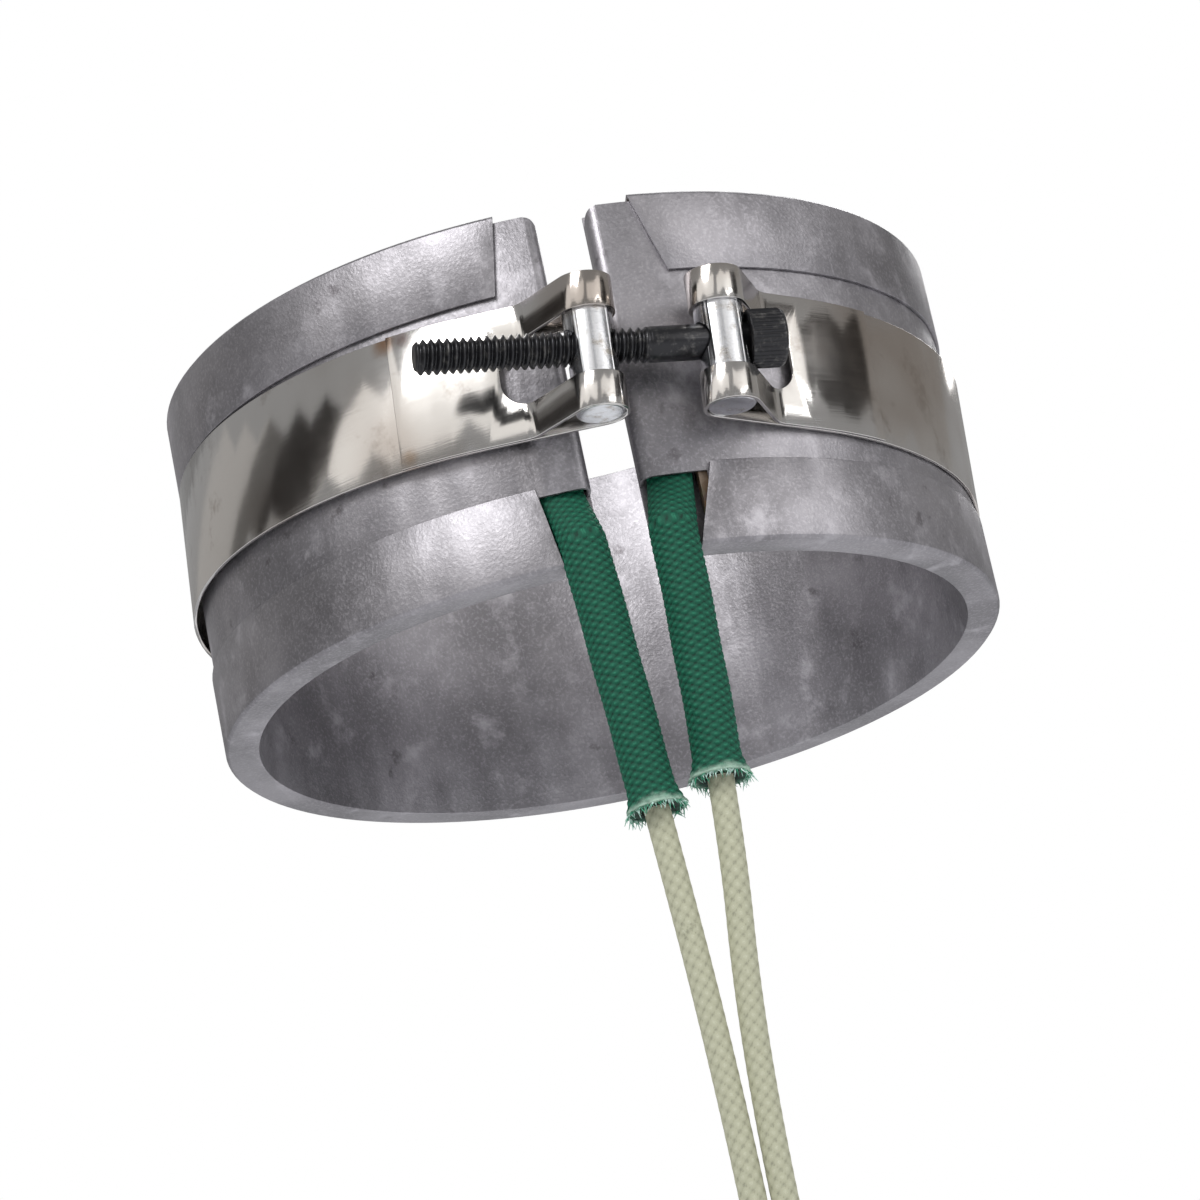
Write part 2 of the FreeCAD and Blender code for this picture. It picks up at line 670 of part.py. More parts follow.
make_inner_sheath()
make_outer_sheath()
make_element()
make_clamp_strap()
make_barrel("threaded_barrel", -1, "threaded_hole_clearance")
make_barrel("plain_barrel", 1, "plain_hole_clearance")
make_clamp_screw()
make_lead("left", LEFT_ROUTE, LEFT_SLEEVE_END, -1)
make_lead("right", RIGHT_ROUTE, RIGHT_SLEEVE_END, 1)

# ---------------------------------------------------------------- check and write
doc.recompute()
failed = [item.Name for item in doc.Objects if "Invalid" in item.State or "Error" in item.State]
if failed:
    raise RuntimeError("objects that did not recompute: %s" % ", ".join(failed))
os.makedirs("parts", exist_ok=True)
for item in nodes:
    shape = item.Shape
    if shape.isNull() or not shape.isValid():
        raise RuntimeError("%s has no valid shape" % item.Label)
    print("%-20s solids %d  volume %.1f  faces %d" % (item.Label, len(shape.Solids), shape.Volume,
                                                     len(shape.Faces)))
for item in nodes:
    item.Shape.exportStep("parts/%s.step" % item.Label)
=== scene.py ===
"""Looks of a mica band heater, laid out as an add-on whose operators dress the CAD frame."""
import json
import math

import bmesh
import bpy
from mathutils import Matrix, Vector


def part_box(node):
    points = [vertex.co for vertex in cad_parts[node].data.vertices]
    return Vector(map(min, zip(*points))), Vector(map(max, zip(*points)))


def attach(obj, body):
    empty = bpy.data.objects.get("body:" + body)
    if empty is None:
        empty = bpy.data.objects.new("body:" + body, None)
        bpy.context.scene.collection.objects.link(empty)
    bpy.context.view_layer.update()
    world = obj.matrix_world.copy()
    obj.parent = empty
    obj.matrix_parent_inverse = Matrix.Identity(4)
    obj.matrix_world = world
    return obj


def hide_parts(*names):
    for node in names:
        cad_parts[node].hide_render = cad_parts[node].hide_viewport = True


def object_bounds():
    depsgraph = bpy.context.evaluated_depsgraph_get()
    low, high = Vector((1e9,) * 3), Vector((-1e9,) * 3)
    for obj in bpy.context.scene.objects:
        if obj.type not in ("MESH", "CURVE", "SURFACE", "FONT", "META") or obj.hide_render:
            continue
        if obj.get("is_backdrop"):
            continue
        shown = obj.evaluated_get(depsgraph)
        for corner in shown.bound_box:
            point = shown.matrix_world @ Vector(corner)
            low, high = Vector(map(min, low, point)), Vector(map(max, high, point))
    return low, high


bl_info = {
    "name": "Band heater",
    "version": (1, 0, 0),
    "blender": (4, 5, 0),
    "location": "View3D > Sidebar > Band heater",
    "description": "Dresses the solids of a mica band heater and sets its stage",
    "category": "Object",
}

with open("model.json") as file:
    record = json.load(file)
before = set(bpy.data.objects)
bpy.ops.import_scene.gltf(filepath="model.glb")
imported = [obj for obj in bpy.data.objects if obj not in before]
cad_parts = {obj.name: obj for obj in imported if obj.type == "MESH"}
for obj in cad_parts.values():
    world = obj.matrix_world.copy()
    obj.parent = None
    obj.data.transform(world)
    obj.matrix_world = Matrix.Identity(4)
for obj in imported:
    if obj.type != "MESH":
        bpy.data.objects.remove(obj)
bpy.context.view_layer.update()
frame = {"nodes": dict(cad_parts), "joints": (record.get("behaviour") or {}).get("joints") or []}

MM = 0.001
BAND = "band"
SCREW = "clamp_screw"

joint = frame["joints"][0]
SCREW_AXIS = Vector(joint["axis"]).normalized()
SCREW_POINT = Vector(joint["pos_m"])
AXIS_UP = (Vector((0, 0, 1)) - SCREW_AXIS * SCREW_AXIS.z).normalized()
AXIS_SIDE = AXIS_UP.cross(SCREW_AXIS)
STRAP_RADIUS = 56.2 * MM
CAMERA_PLACE = Vector((-0.06504, -0.62189, -0.22597))

# Rounding and clean-up of the copied shells.
EASE_SEGMENTS = 2
EASE_ANGLE = 32.0
MERGE_DISTANCE = 1e-6
FLAT_ANGLE = 0.2

# The sleeve is pressed flat in its throat inside the wall, and opens towards its cut end.
THROAT_X = 7.26 * MM
THROAT_Y = -52.34 * MM
THROAT_HEIGHTS = (-14.0 * MM, -15.0 * MM)
THROAT_HALF_WIDTH = 3.05 * MM
THROAT_HALF_DEPTH = 1.30 * MM
BLEND_STEPS = 44
SLEEVE_STEP = 0.16 * MM
SLEEVE_SIDES = 144
SLEEVE_PITCH = 1.1 * MM
CUT_MARGIN = 0.25 * MM
FLARE_LENGTH = 3.4 * MM
FRAY_LENGTH = 2.6 * MM
LUMP = 0.05 * MM
LUMP_WAVE = 420
LINING_GAP = 0.35 * MM
LINING_STEP = 6

LEAD_STEP = 0.32 * MM
LEAD_SIDES = 64

# Heat stains on the strap: their middle in metres, their colour, and their reach in millimetres.
HEAT_TINTS = (
    ((-0.0262, -0.0497, 0.0120), (0.36, 0.17, 0.06), 4.0),
    ((-0.0235, -0.0510, 0.0115), (0.20, 0.11, 0.10), 3.0),
    ((-0.0255, -0.0500, -0.0055), (0.42, 0.22, 0.06), 3.6),
    ((-0.0262, -0.0497, -0.0062), (0.12, 0.09, 0.16), 2.0),
    ((0.0369, -0.0424, 0.0088), (0.12, 0.06, 0.03), 2.6),
    ((0.0397, -0.0397, -0.0086), (0.16, 0.09, 0.05), 2.4),
)

# Cards: the stretch of strap that mirrors each, in degrees from the gap, and how brightly it glows.
CARDS = (
    ("card_far_left", -72, -56, 0.42), ("card_brown", -56, -49, 0.10), ("card_left", -49, -37, 0.0),
    ("card_front_left", -37, -3, 1.05), ("card_front_right", 3, 29, 1.0), ("card_right", 29, 42, 0.0),
    ("card_far_right", 42, 62, 0.30),
)
CARD_STEP = 3
CARD_HALF_HEIGHT = 0.13
CARD_DISTANCE = 0.5

# Lamps: place in metres and power in watts.
LAMPS = (
    ("key", (-0.50, -0.70, 0.70), 8.0),
    ("fill", (0.85, -0.60, 0.30), 4.0),
    ("back", (0.25, 0.75, 0.60), 4.0),
)
LAMP_SIZE = 0.5
FLOOR_HALF = 3.0


# ---------------------------------------------------------------- routes of the leads, in metres
LEFT_ROUTE = [
    (-0.00585, -0.0543, -0.0225), (-0.0035, -0.0548, -0.060), (-0.0019, -0.0550, -0.097),
    (-0.0020, -0.0548, -0.142), (-0.0035, -0.0550, -0.190), (-0.0054, -0.0552, -0.227),
]
RIGHT_ROUTE = [
    (0.0061, -0.0543, -0.0225), (0.0058, -0.0548, -0.058), (0.0018, -0.0550, -0.094),
    (0.0021, -0.0548, -0.140), (0.0038, -0.0550, -0.1885), (0.0060, -0.0552, -0.227),
]


# ---------------------------------------------------------------- settings
class SheathSettings(bpy.types.PropertyGroup):
    steel: bpy.props.FloatVectorProperty(
        name="Sheath steel", description="Colour of the aluminium-coated sheet", subtype="COLOR",
        default=(0.33, 0.318, 0.338))
    edge: bpy.props.FloatProperty(
        name="Edge rounding", description="Rounding of the sheet's cut edges", default=0.14 * MM,
        unit="LENGTH")
    mica: bpy.props.FloatVectorProperty(
        name="Mica", description="Colour of the mica board", subtype="COLOR", default=(0.20, 0.13, 0.08))


class ClampSettings(bpy.types.PropertyGroup):
    strap: bpy.props.FloatVectorProperty(
        name="Strap", description="Colour of the polished strap", subtype="COLOR", default=(0.66, 0.64, 0.62))
    zinc: bpy.props.FloatVectorProperty(
        name="Barrel nuts", description="Colour of the plated barrel nuts", subtype="COLOR",
        default=(0.70, 0.71, 0.74))


class ScrewSettings(bpy.types.PropertyGroup):
    oxide: bpy.props.FloatVectorProperty(
        name="Black oxide", description="Colour of the screw", subtype="COLOR", default=(0.022, 0.022, 0.025))
    thread_radius: bpy.props.FloatProperty(
        name="Thread radius", description="Radius over the thread", default=2.40 * MM, unit="LENGTH")
    pitch: bpy.props.FloatProperty(
        name="Pitch", description="Travel of the thread in one turn", default=1.058 * MM, unit="LENGTH")
    thread_depth: bpy.props.FloatProperty(
        name="Thread depth", description="Depth of the thread", default=0.60 * MM, unit="LENGTH")
    plain_length: bpy.props.FloatProperty(
        name="Plain length", description="Unthreaded length next to the head", default=13.0 * MM,
        unit="LENGTH")
    length: bpy.props.FloatProperty(
        name="Length", description="Length below the head", default=44.45 * MM, unit="LENGTH")
    head_radius: bpy.props.FloatProperty(
        name="Head radius", description="Radius over the knurl", default=3.95 * MM, unit="LENGTH")
    head_height: bpy.props.FloatProperty(
        name="Head height", description="Height of the head", default=4.83 * MM, unit="LENGTH")
    knurls: bpy.props.IntProperty(
        name="Knurls", description="Ridges round the head", default=44)
    key_size: bpy.props.FloatProperty(
        name="Key size", description="Socket across its flats", default=3.97 * MM, unit="LENGTH")
    socket_depth: bpy.props.FloatProperty(
        name="Socket depth", description="Depth of the socket", default=2.4 * MM, unit="LENGTH")


class LeadSettings(bpy.types.PropertyGroup):
    lead_radius: bpy.props.FloatProperty(
        name="Lead radius", description="Radius over the lead's covering", default=1.75 * MM, unit="LENGTH")
    sleeve_radius: bpy.props.FloatProperty(
        name="Sleeve radius", description="Radius over the sleeve", default=3.1 * MM, unit="LENGTH")
    flare_radius: bpy.props.FloatProperty(
        name="Flare radius", description="Radius of the sleeve's cut end", default=3.9 * MM, unit="LENGTH")
    sleeve: bpy.props.FloatVectorProperty(
        name="Sleeve", description="Colour of the sleeve's yarn", subtype="COLOR",
        default=(0.001, 0.085, 0.047))
    # Painted highlight on the sleeve's yarn tops, which is also the colour of its loose fibres.
    sleeve_highlight_and_fibre: bpy.props.FloatVectorProperty(
        name="Sleeve highlight and fibres", description="Colour of the sleeve's loose fibres and painted highlight", subtype="COLOR",
        default=(0.03, 0.27, 0.15))
    covering: bpy.props.FloatVectorProperty(
        name="Lead", description="Colour of the lead's covering", subtype="COLOR", default=(0.43, 0.43, 0.31))
    strand_count: bpy.props.IntProperty(
        name="Outer strands", description="Strands round the middle one at the bare end", default=6)
    fibres: bpy.props.IntProperty(
        name="Fibres", description="Loose fibres at each sleeve's cut end", default=110)


class StageSettings(bpy.types.PropertyGroup):
    focal: bpy.props.FloatProperty(
        name="Focal length", description="Of a 36 mm wide sensor, in millimetres", default=139.7,
        unit="CAMERA")
    distance_floor: bpy.props.FloatProperty(
        name="Floor below", description="Height of the floor below the leads", default=20 * MM, unit="LENGTH")


# ---------------------------------------------------------------- material helpers
def new_material(name):
    """A node material, its tree and its Principled shader."""
    material = bpy.data.materials.new(name)
    material.use_nodes = True
    tree = material.node_tree
    shader = tree.nodes["Principled BSDF"]
    return material, tree, shader


def node(tree, kind, inputs=None, **settings):
    """A node with its properties set, and its inputs, by name or number, set or linked."""
    item = tree.nodes.new(kind)
    for key, value in settings.items():
        setattr(item, key, value)
    for key, value in (inputs or {}).items():
        if isinstance(value, bpy.types.NodeSocket):
            tree.links.new(value, item.inputs[key])
        else:
            item.inputs[key].default_value = value
    return item


def noise(tree, vector, scale, detail=4.0, roughness=0.55):
    """Noise from 0 to 1 at a number of features to the metre."""
    return node(tree, "ShaderNodeTexNoise", {"Vector": vector, "Scale": scale, "Detail": detail,
                                             "Roughness": roughness}).outputs["Fac"]


def stretched(tree, vector, scale):
    """Object coordinates stretched along an axis, for brushed and rubbed marks."""
    return node(tree, "ShaderNodeMapping", {"Vector": vector, "Scale": scale}).outputs["Vector"]


def mixed(tree, factor, low, high, blend="MIX"):
    item = node(tree, "ShaderNodeMix", data_type="RGBA", blend_type=blend)
    for socket, value in ((item.inputs[0], factor), (item.inputs[6], low), (item.inputs[7], high)):
        if isinstance(value, bpy.types.NodeSocket):
            tree.links.new(value, socket)
        else:
            socket.default_value = (*value, 1) if isinstance(value, tuple) else value
    return item.outputs[2]


def maths(tree, operation, first, second=0.0, third=None):
    inputs = {0: first, 1: second}
    if third is not None:
        inputs[2] = third
    return node(tree, "ShaderNodeMath", inputs, operation=operation).outputs[0]


def span(tree, value, low, high, out_low=0.0, out_high=1.0):
    """The value's place between two limits, smoothed."""
    return node(tree, "ShaderNodeMapRange", {"Value": value, "From Min": low, "From Max": high,
                                             "To Min": out_low, "To Max": out_high},
                interpolation_type="SMOOTHSTEP").outputs["Result"]


def bump(tree, shader, height, strength, distance):
    item = node(tree, "ShaderNodeBump", {"Height": height, "Strength": strength, "Distance": distance})
    tree.links.new(item.outputs["Normal"], shader.inputs["Normal"])


def object_place(tree):
    return node(tree, "ShaderNodeTexCoord").outputs["Object"]


def wire(tree, value, shader, name):
    tree.links.new(value, shader.inputs[name])


# ---------------------------------------------------------------- materials
def coated_steel(settings):
    """Dull aluminium-coated sheet: mottled, with fine scuffs and rubbed edges of stains."""
    material, tree, shader = new_material("coated_steel")
    place = object_place(tree)
    cloud = noise(tree, place, 45.0, 5.0, 0.6)
    patch = noise(tree, place, 160.0, 6.0, 0.65)
    speck = noise(tree, place, 900.0, 3.0, 0.7)
    steel = tuple(settings.steel)
    dark = tuple(c * 0.62 for c in steel)
    pale = tuple(min(1.0, c * 1.55) for c in steel)
    colour = mixed(tree, span(tree, cloud, 0.36, 0.66), dark, steel)
    colour = mixed(tree, span(tree, patch, 0.52, 0.74, 0.0, 0.7), colour, pale)
    smudge = noise(tree, place, 210.0, 3.0, 0.5)
    colour = mixed(tree, span(tree, smudge, 0.68, 0.76, 0.0, 0.5), colour, (0.07, 0.06, 0.065))
    scratch = noise(tree, stretched(tree, place, (1.0, 1.0, 0.06)), 2600.0, 2.0, 0.5)
    colour = mixed(tree, span(tree, scratch, 0.68, 0.80, 0.0, 0.22), colour, (0.55, 0.54, 0.57))
    grit = noise(tree, place, 2200.0, 2.0, 0.6)
    colour = mixed(tree, span(tree, grit, 0.45, 0.75, 0.0, 0.35), colour, pale)
    wire(tree, colour, shader, "Base Color")
    shader.inputs["Metallic"].default_value = 0.9
    rough = maths(tree, "MULTIPLY_ADD", patch, 0.26, 0.27)
    wire(tree, maths(tree, "MULTIPLY_ADD", speck, 0.12, rough), shader, "Roughness")
    height = maths(tree, "ADD", maths(tree, "MULTIPLY", patch, 0.3), maths(tree, "MULTIPLY", grit, 0.6))
    bump(tree, shader, height, 0.40, 0.0002)
    return material


def polished_strip(settings):
    """Bright rolled strip: nearly a mirror, with long fine lines, straw and blue heat tint at the welds, and
    large brownish patches in its colour that are a painted reflection, the darkest of them also grime.
    """
    material, tree, shader = new_material("polished_strip")
    place = object_place(tree)
    strap = tuple(settings.strap)
    wave_and_painted_reflection = noise(tree, place, 28.0, 3.0, 0.5)
    grime_and_painted_reflection = noise(tree, place, 120.0, 6.0, 0.7)
    # painted reflection: large brownish patches stand in for the dark surroundings mirrored in the strip; the
    # darker brown patches below are grime and painted reflection
    colour = mixed(tree, span(tree, wave_and_painted_reflection, 0.40, 0.64), strap, (0.46, 0.41, 0.37))
    colour = mixed(tree, span(tree, grime_and_painted_reflection, 0.55, 0.75, 0.0, 0.5), colour, (0.24, 0.19, 0.15))
    for centre, tint, reach in HEAT_TINTS:
        away = node(tree, "ShaderNodeVectorMath", {0: place, 1: centre}, operation="DISTANCE")
        away = away.outputs["Value"]
        away = maths(tree, "ADD", away, maths(tree, "MULTIPLY", grime_and_painted_reflection, 0.003))
        colour = mixed(tree, span(tree, away, reach * MM, 1.2 * MM, 0.0, 0.8), colour, tint)
    wire(tree, colour, shader, "Base Color")
    shader.inputs["Metallic"].default_value = 1.0
    lines = noise(tree, stretched(tree, place, (0.25, 0.25, 6.0)), 700.0, 3.0, 0.6)
    wire(tree, maths(tree, "MULTIPLY_ADD", lines, 0.10, maths(tree, "MULTIPLY_ADD", grime_and_painted_reflection, 0.16, 0.02)),
         shader, "Roughness")
    ripple = maths(tree, "ADD", maths(tree, "MULTIPLY", wave_and_painted_reflection, 0.9), maths(tree, "MULTIPLY", lines, 0.05))
    bump(tree, shader, ripple, 0.12, 0.001)
    return material


def zinc_plate(settings):
    material, tree, shader = new_material("zinc_plate")
    place = object_place(tree)
    turned = noise(tree, stretched(tree, place, (1.0, 1.0, 9.0)), 900.0, 3.0, 0.6)
    stain = noise(tree, place, 420.0, 5.0, 0.65)
    zinc = tuple(settings.zinc)
    colour = mixed(tree, span(tree, stain, 0.48, 0.72), zinc, (0.40, 0.37, 0.33))
    wire(tree, colour, shader, "Base Color")
    shader.inputs["Metallic"].default_value = 1.0
    wire(tree, maths(tree, "MULTIPLY_ADD", stain, 0.25, 0.12), shader, "Roughness")
    bump(tree, shader, turned, 0.25, 0.0001)
    return material


def black_oxide(settings):
    material, tree, shader = new_material("black_oxide")
    place = object_place(tree)
    worn = noise(tree, place, 800.0, 5.0, 0.65)
    colour = mixed(tree, span(tree, worn, 0.50, 0.80), tuple(settings.oxide), (0.13, 0.125, 0.12))
    wire(tree, colour, shader, "Base Color")
    shader.inputs["Metallic"].default_value = 0.75
    wire(tree, maths(tree, "MULTIPLY_ADD", worn, 0.25, 0.22), shader, "Roughness")
    shader.inputs["Coat Weight"].default_value = 0.25
    bump(tree, shader, worn, 0.2, 0.0001)
    return material


def mica_board(settings):
    material, tree, shader = new_material("mica_board")
    place = object_place(tree)
    flake = node(tree, "ShaderNodeTexVoronoi", {"Vector": place, "Scale": 700.0}).outputs["Color"]
    mica = tuple(settings.mica)
    colour = mixed(tree, 0.35, mica, flake, "MULTIPLY")
    colour = mixed(tree, span(tree, noise(tree, place, 90.0), 0.4, 0.7), colour, tuple(c * 1.8 for c in mica))
    wire(tree, colour, shader, "Base Color")
    wire(tree, maths(tree, "MULTIPLY_ADD", noise(tree, place, 600.0), 0.4, 0.25), shader, "Roughness")
    bump(tree, shader, noise(tree, place, 600.0), 0.3, 0.0002)
    return material


def bare_metal(name, colour, roughness):
    """Drawn metal of one colour with a fine grain: strands, winding and tabs."""
    material, tree, shader = new_material(name)
    place = object_place(tree)
    grain = noise(tree, stretched(tree, place, (1.0, 1.0, 0.1)), 2500.0, 3.0, 0.6)
    wire(tree, mixed(tree, span(tree, grain, 0.35, 0.7), tuple(c * 0.7 for c in colour), colour), shader,
         "Base Color")
    shader.inputs["Metallic"].default_value = 1.0
    wire(tree, maths(tree, "MULTIPLY_ADD", grain, 0.2, roughness), shader, "Roughness")
    return material


def own_value(tree, name):
    return node(tree, "ShaderNodeAttribute", attribute_name=name).outputs["Fac"]


def braid_material(name, yarn, light, shade, strands, pitch, depth):
    """Braided yarn: its woven height and fray are attributes, its fibres run along its own UV map. The woven
    height paints shade into the valleys and a highlight onto the yarn tops.
    """
    material, tree, shader = new_material(name)
    coordinates = node(tree, "ShaderNodeUVMap", uv_map="braid").outputs["UV"]
    parts = node(tree, "ShaderNodeSeparateXYZ", {"Vector": coordinates})
    around = maths(tree, "MULTIPLY", parts.outputs["X"], float(strands))
    along = maths(tree, "DIVIDE", parts.outputs["Y"], pitch)
    fibre = noise(tree, node(tree, "ShaderNodeCombineXYZ", {"X": around, "Y": along}).outputs["Vector"],
                  7.0, 3.0, 0.65)
    weave = own_value(tree, "weave")
    place = object_place(tree)
    soil = noise(tree, place, 330.0, 5.0, 0.65)
    top = maths(tree, "ADD", weave, maths(tree, "MULTIPLY_ADD", fibre, 0.5, -0.25))
    # painted shade: the yarn is darkened by the shade factor in the weave's valleys
    colour = mixed(tree, span(tree, top, 0.30, 0.78), tuple(c * shade for c in yarn), yarn)
    # painted highlight: the light colour is laid on the highest yarn tops
    colour = mixed(tree, span(tree, top, 0.86, 1.12, 0.0, 0.75), colour, light)
    colour = mixed(tree, span(tree, soil, 0.64, 0.76, 0.0, 0.55), colour, tuple(c * 0.35 for c in yarn))
    fray = maths(tree, "ADD", own_value(tree, "fray"), maths(tree, "MULTIPLY_ADD", soil, 1.2, -0.75))
    colour = mixed(tree, span(tree, fray, 0.35, 0.95, 0.0, 0.8), colour, (0.42, 0.58, 0.47))
    wire(tree, colour, shader, "Base Color")
    shader.inputs["Roughness"].default_value = 0.68
    shader.inputs["Specular IOR Level"].default_value = 0.3
    bump(tree, shader, maths(tree, "ADD", weave, maths(tree, "MULTIPLY", fibre, 0.5)), 0.5, depth)
    return material


def fibre_material(settings):
    material, tree, shader = new_material("loose_fibre")
    place = object_place(tree)
    pale = (0.62, 0.80, 0.74)
    green = tuple(settings.sleeve_highlight_and_fibre)
    worn = span(tree, noise(tree, place, 900.0), 0.42, 0.60)
    wire(tree, mixed(tree, worn, green, pale), shader, "Base Color")
    shader.inputs["Roughness"].default_value = 0.6
    return material


# ---------------------------------------------------------------- mesh helpers
def new_object(name, mesh, material):
    item = bpy.data.objects.new(name, mesh)
    bpy.context.scene.collection.objects.link(item)
    mesh.materials.clear()
    mesh.materials.append(material)
    return item


def settle(item, body, slot, *nodes):
    """Let a finished piece ride on its body and stand for CAD nodes."""
    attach(item, body)
    if nodes:
        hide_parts(*nodes)
    return item


def dress(name, material):
    """Give a CAD node that is shown as it is a material of its own."""
    mesh = frame["nodes"][name].data
    mesh.materials.clear()
    mesh.materials.append(material)


def eased_copy(name, material, rounding):
    """A merged copy of a CAD node with its sharp edges rounded and its curved walls smooth."""
    mesh = frame["nodes"][name].data.copy()
    mesh.name = name + "_shell"
    work = bmesh.new()
    work.from_mesh(mesh)
    bmesh.ops.remove_doubles(work, verts=work.verts, dist=MERGE_DISTANCE)
    bmesh.ops.dissolve_limit(work, angle_limit=math.radians(FLAT_ANGLE), verts=work.verts, edges=work.edges)
    work.to_mesh(mesh)
    work.free()
    mesh.shade_smooth()
    item = new_object(name + "_shell", mesh, material)
    bevel = item.modifiers.new("eased_edges", "BEVEL")
    bevel.width = rounding
    bevel.segments = EASE_SEGMENTS
    bevel.limit_method = "ANGLE"
    bevel.angle_limit = math.radians(EASE_ANGLE)
    bevel.harden_normals = True
    return item


def grid_mesh(name, rings, uv=None, values=None):
    """A closed skin through equal rings of points.

    uv gives each ring its length along the tube, and values gives named numbers for each point.
    """
    count = len(rings[0])
    points = [point for ring in rings for point in ring]
    faces = []
    for row in range(len(rings) - 1):
        for place in range(count):
            beside = (place + 1) % count
            low, high = row * count, (row + 1) * count
            faces.append((low + place, low + beside, high + beside, high + place))
    faces.append(tuple(reversed(range(count))))
    faces.append(tuple(range((len(rings) - 1) * count, len(rings) * count)))
    mesh = bpy.data.meshes.new(name)
    mesh.from_pydata([tuple(point) for point in points], [], faces)
    if uv is not None:
        layer = mesh.uv_layers.new(name="braid")
        for polygon in mesh.polygons:
            for loop_index, vertex in zip(polygon.loop_indices, polygon.vertices):
                row, place = divmod(vertex, count)
                turn = place / count
                if place == 0 and any(v % count == count - 1 for v in polygon.vertices):
                    turn = 1.0
                layer.data[loop_index].uv = (turn, uv[row])
    for label, numbers in (values or {}).items():
        mesh.attributes.new(label, "FLOAT", "POINT").data.foreach_set("value", numbers)
    work = bmesh.new()
    work.from_mesh(mesh)
    bmesh.ops.recalc_face_normals(work, faces=work.faces)
    work.to_mesh(mesh)
    work.free()
    mesh.shade_smooth()
    return mesh


def centre_line(name, route, step):
    """Evenly spaced points of a NURBS spline through its route, with the direction at each."""
    curve = bpy.data.curves.new(name + "_line", "CURVE")
    curve.dimensions = "3D"
    curve.resolution_u = 24
    spline = curve.splines.new("NURBS")
    spline.points.add(len(route) - 1)
    for place, point in zip(spline.points, route):
        place.co = (*point, 1.0)
    spline.order_u = 3
    spline.use_endpoint_u = True
    item = bpy.data.objects.new(name + "_line", curve)
    bpy.context.scene.collection.objects.link(item)
    bpy.context.view_layer.update()
    line = bpy.data.meshes.new_from_object(item.evaluated_get(bpy.context.evaluated_depsgraph_get()))
    points = [vertex.co.copy() for vertex in line.vertices]
    bpy.data.objects.remove(item)
    bpy.data.curves.remove(curve)
    bpy.data.meshes.remove(line)
    lengths = [0.0]
    for before, after in zip(points, points[1:]):
        lengths.append(lengths[-1] + (after - before).length)
    count = max(2, round(lengths[-1] / step))
    even, at = [], 0
    for number in range(count + 1):
        wanted = lengths[-1] * number / count
        while at < len(points) - 2 and lengths[at + 1] < wanted:
            at += 1
        share = (wanted - lengths[at]) / max(lengths[at + 1] - lengths[at], 1e-12)
        even.append(points[at].lerp(points[at + 1], min(1.0, share)))
    return even, lengths[-1]


def ring_about(centre, direction, radii, start=Vector((1, 0, 0))):
    """A ring of points square to a direction, one for each radius."""
    side = (start - direction * start.dot(direction)).normalized()
    other = direction.cross(side)
    turn = 2 * math.pi / len(radii)
    return [centre + (side * math.cos(turn * i) + other * math.sin(turn * i)) * r for i, r in enumerate(radii)]


def braid_height(around, along, strands, pitch):
    """Height from 0 to 1 of a plain braid at a turn round its tube and a length along it."""
    first = around * strands + along / pitch
    second = around * strands - along / pitch
    over = (math.floor(first) + math.floor(second)) % 2 == 0
    top, under = (first, second) if over else (second, first)
    across = 2 * (top % 1) - 1
    dip = 2 * (under % 1) - 1
    return math.sqrt(max(0.0, 1 - 0.8 * across * across)) * (1 - 0.35 * dip * dip)


def directions(points):
    last = len(points) - 1
    return [(points[min(i + 1, last)] - points[max(i - 1, 0)]).normalized() for i in range(last + 1)]


# ---------------------------------------------------------------- geometry node helpers
def node_tree(name, sizes):
    """A geometry node group with a geometry in and out and named float inputs."""
    tree = bpy.data.node_groups.new(name, "GeometryNodeTree")
    tree.interface.new_socket("Geometry", in_out="INPUT", socket_type="NodeSocketGeometry")
    for label, (kind, value) in sizes.items():
        socket = tree.interface.new_socket(label, in_out="INPUT", socket_type=kind)
        socket.default_value = value
    tree.interface.new_socket("Geometry", in_out="OUTPUT", socket_type="NodeSocketGeometry")
    return tree, tree.nodes.new("NodeGroupInput"), tree.nodes.new("NodeGroupOutput")


def finish_tree(tree, geometry, material, output):
    whole = node(tree, "GeometryNodeRealizeInstances", {"Geometry": geometry})
    painted = node(tree, "GeometryNodeSetMaterial", {"Geometry": whole.outputs[0], "Material": material})
    tree.links.new(painted.outputs[0], output.inputs[0])


def grow(name, tree, material, place, **values):
    """The plain mesh that a node group makes, moved to its place."""
    item = bpy.data.objects.new(name, bpy.data.meshes.new(name + "_seed"))
    bpy.context.scene.collection.objects.link(item)
    modifier = item.modifiers.new("grow", "NODES")
    modifier.node_group = tree
    for socket in tree.interface.items_tree:
        if socket.in_out == "INPUT" and socket.name in values:
            modifier[socket.identifier] = values[socket.name]
    bpy.context.view_layer.update()
    mesh = bpy.data.meshes.new_from_object(item.evaluated_get(bpy.context.evaluated_depsgraph_get()))
    bpy.data.objects.remove(item)
    mesh.transform(place)
    mesh.name = name
    return new_object(name, mesh, material)


def frame_at(centre, direction):
    """A matrix that carries +Z to a direction and the origin to a centre."""
    turn = Vector((0, 0, 1)).rotation_difference(direction)
    return Matrix.Translation(centre) @ turn.to_matrix().to_4x4()


